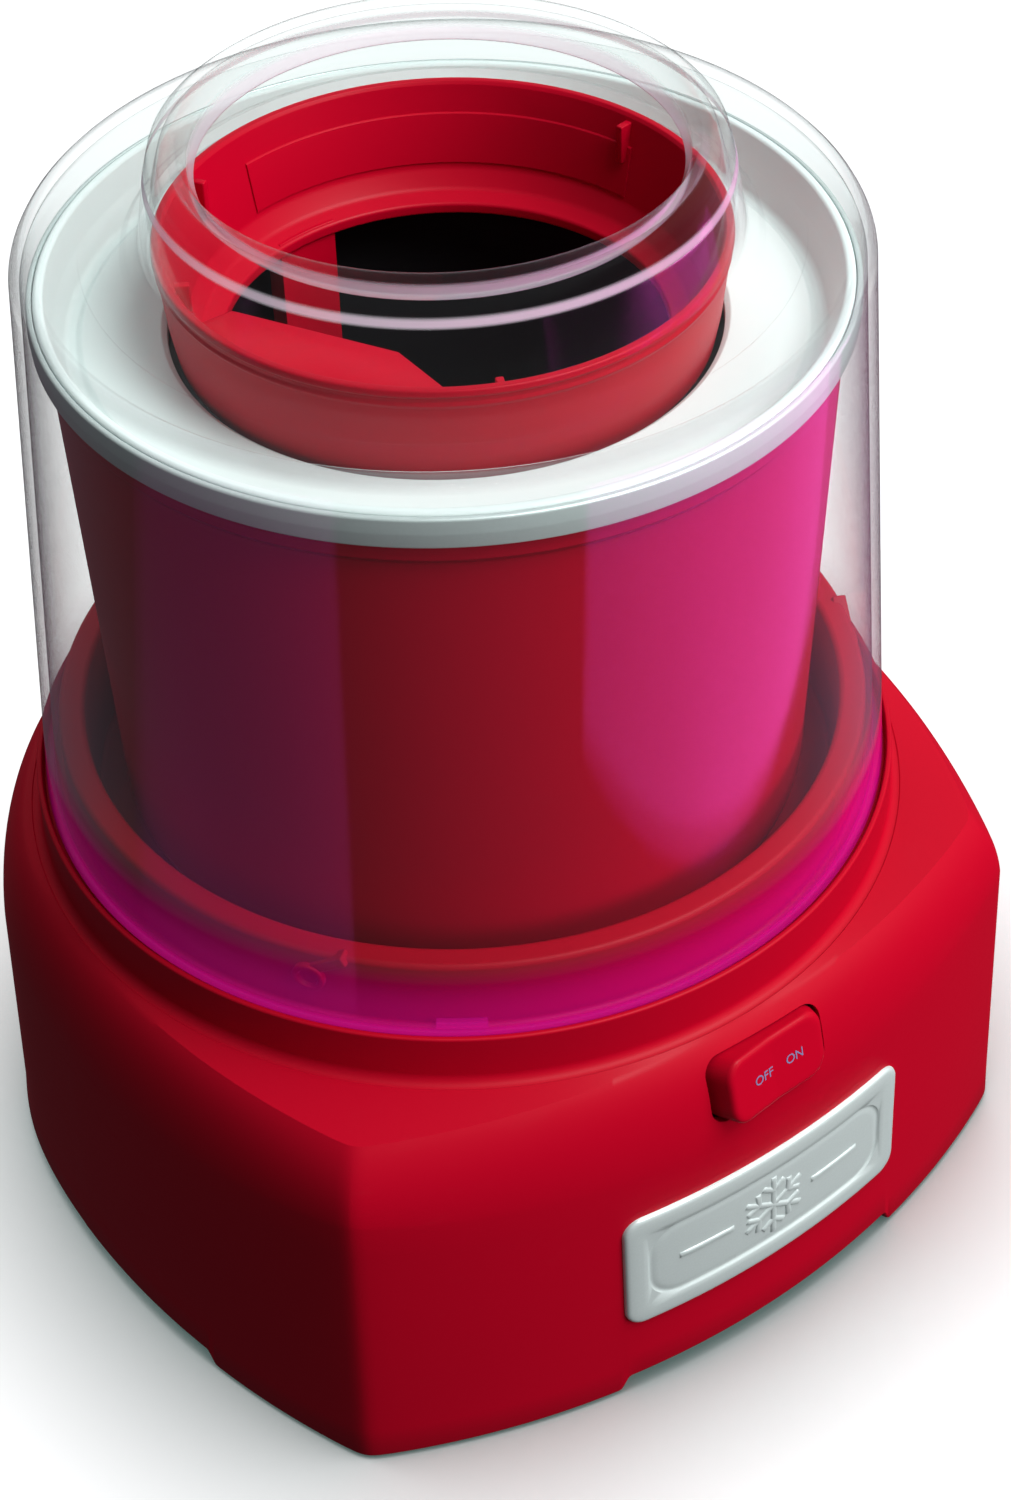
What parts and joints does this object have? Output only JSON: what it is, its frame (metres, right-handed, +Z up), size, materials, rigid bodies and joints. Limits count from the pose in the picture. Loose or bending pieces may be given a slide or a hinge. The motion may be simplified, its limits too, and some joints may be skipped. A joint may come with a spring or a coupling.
{
  "type": "ice cream maker",
  "caption": "Counter-top ice cream maker: squarish motor base, freezer bowl turned by a geared drive, fixed mixing paddle, and clear tapered lid with a pouring spout.",
  "frame": {"origin": "bottom centre of the bounding box, on the bowl's axis at the height of the surface the feet stand on", "axes": "+Z up along the bowl's axis, -Y out of the front with the rocker and the plate, +X to the right seen from the front"},
  "size_m": [0.2476, 0.2487, 0.286],
  "materials": {
    "red_housing": "satin moulded, faint grain",
    "bowl_red": "satin moulded",
    "paddle_red": "satin moulded",
    "dark_plastic": "fine grain",
    "rubber_feet": "matt",
    "steel_fasteners": "turned",
    "steel_sheet": "zinc plated",
    "metal_plate": "satin, fine brushed",
    "motor_steel": "laminated, oiled",
    "copper_wire": "enamelled windings",
    "bronze": "sintered",
    "gear_plastic": "natural acetal",
    "aluminium_tub": "anodised",
    "coolant": "gel",
    "pale_cap": "satin moulded",
    "silver_band": "satin",
    "clear_lid": "clear moulded, polished"
  },
  "bodies": {
    "base": {"base_housing": "red_housing", "bottom_plate": "dark_plastic", "rubber_feet": "rubber_feet", "bottom_screws": "steel_fasteners", "nameplate": "metal_plate", "switch_body": "dark_plastic", "cord_grommet": "dark_plastic", "gearbox_plate": "steel_sheet", "gearbox_screws": "steel_fasteners", "motor_core": "motor_steel", "motor_coil": "copper_wire", "motor_bracket": "steel_sheet", "motor_bushes": "bronze", "idler_axle": "steel_fasteners", "shaft_bushes": "bronze", "splash_seal": "rubber_feet"},
    "rocker": {"switch_rocker": "red_housing"},
    "rotor": {"motor_rotor": "motor_steel", "motor_shaft": "steel_fasteners", "motor_pinion": "bronze"},
    "idler": {"idler_gear": "gear_plastic"},
    "hub": {"output_gear": "gear_plastic", "drive_shaft": "steel_fasteners", "retaining_clip": "steel_fasteners", "drive_hub": "red_housing"},
    "bowl": {"bowl_shell": "bowl_red", "bowl_tub": "aluminium_tub", "bowl_coolant": "coolant", "bowl_cap": "pale_cap", "bowl_band": "silver_band", "bowl_gasket": "rubber_feet", "bowl_socket": "dark_plastic"},
    "paddle": {"mixing_paddle": "paddle_red"},
    "lid": {"lid": "clear_lid"}
  },
  "joints": [
    {"name": "rocker_tilt", "type": "hinge", "parent": "base", "child": "rocker", "pos_m": [0.006, -0.11222, 0.08978], "axis": [0, -0.2656, -0.9641], "range_deg": [0, 12.5]},
    {"name": "hub_spin", "type": "hinge", "parent": "base", "child": "hub", "pos_m": [0, 0, 0.08], "axis": [0, 0, 1], "continuous": true},
    {"name": "idler_spin", "type": "hinge", "parent": "base", "child": "idler", "pos_m": [-0.03182, 0.03182, 0.07], "axis": [0, 0, 1], "continuous": true},
    {"name": "rotor_spin", "type": "hinge", "parent": "base", "child": "rotor", "pos_m": [-0.03182, 0.00782, 0.04], "axis": [0, 0, 1], "continuous": true},
    {"name": "bowl_lift", "type": "slide", "parent": "hub", "child": "bowl", "axis": [0, 0, 1], "range_m": [0, 0.12]},
    {"name": "paddle_lift", "type": "slide", "parent": "base", "child": "paddle", "axis": [0, 0, 1], "range_m": [0, 0.26]},
    {"name": "lid_lift", "type": "slide", "parent": "base", "child": "lid", "axis": [0, 0, 1], "range_m": [0, 0.42]}
  ],
  "couplings": [
    {"joint": "idler_spin", "follows": "hub_spin", "ratio": -5},
    {"joint": "rotor_spin", "follows": "hub_spin", "ratio": 25},
    {"joint": "bowl_lift", "follows": "lid_lift", "ratio": 0.28571},
    {"joint": "paddle_lift", "follows": "lid_lift", "ratio": 0.61905}
  ]
}
